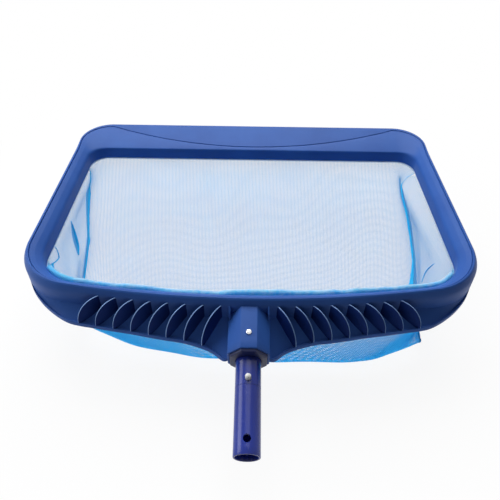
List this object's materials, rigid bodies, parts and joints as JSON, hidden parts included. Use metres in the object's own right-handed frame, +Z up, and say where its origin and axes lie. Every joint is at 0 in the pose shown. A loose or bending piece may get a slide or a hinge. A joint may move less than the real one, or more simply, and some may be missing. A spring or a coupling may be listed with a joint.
{
  "type": "leaf skimmer net",
  "caption": "Pool leaf rake head: blue scoop frame with snap-in ring, fine wedge net bag, ribbed rear apron and a drooping pole tube with sprung snap buttons.",
  "frame": {"origin": "centre of the handle tube's open end, where the pole slides on", "axes": "+Z up out of the net's mouth and square to the ring, +Y from the pole towards the scoop's lip, +X across the mouth. The tube's axis droops 11 degrees below the ring, towards -Y."},
  "size_m": [0.568, 0.5463, 0.1184],
  "materials": {
    "frame_plastic": "satin",
    "net_fabric": "matt",
    "hem_fabric": "matt",
    "tube_blue": "gloss",
    "spring_steel": "satin",
    "button_white": "satin",
    "screw_steel": "satin"
  },
  "bodies": {
    "net_head": {"outer_frame": "frame_plastic", "net_retainer": "frame_plastic", "bag_hem": "hem_fabric", "hem_cord": "hem_fabric", "bag_body": "net_fabric", "bag_side_left": "net_fabric", "bag_side_right": "net_fabric", "seam_left": "hem_fabric", "seam_right": "hem_fabric", "handle_plug": "frame_plastic", "handle_tube": "tube_blue", "clip_spring": "spring_steel", "socket_screw": "screw_steel"},
    "button_upper": {"button_top": "button_white"},
    "button_lower": {"button_bottom": "button_white"}
  },
  "joints": [
    {"name": "button_top_press", "type": "slide", "parent": "net_head", "child": "button_upper", "axis": [0, 0.1908, -0.9816], "range_m": [0, 0.0055], "stiffness_N_per_m": 1200, "springref_m": -0.002, "deforming": ["clip_spring"]},
    {"name": "button_bottom_press", "type": "slide", "parent": "net_head", "child": "button_lower", "axis": [0, -0.1908, 0.9816], "range_m": [0, 0.0055], "stiffness_N_per_m": 1200, "springref_m": -0.002, "deforming": ["clip_spring"]}
  ]
}
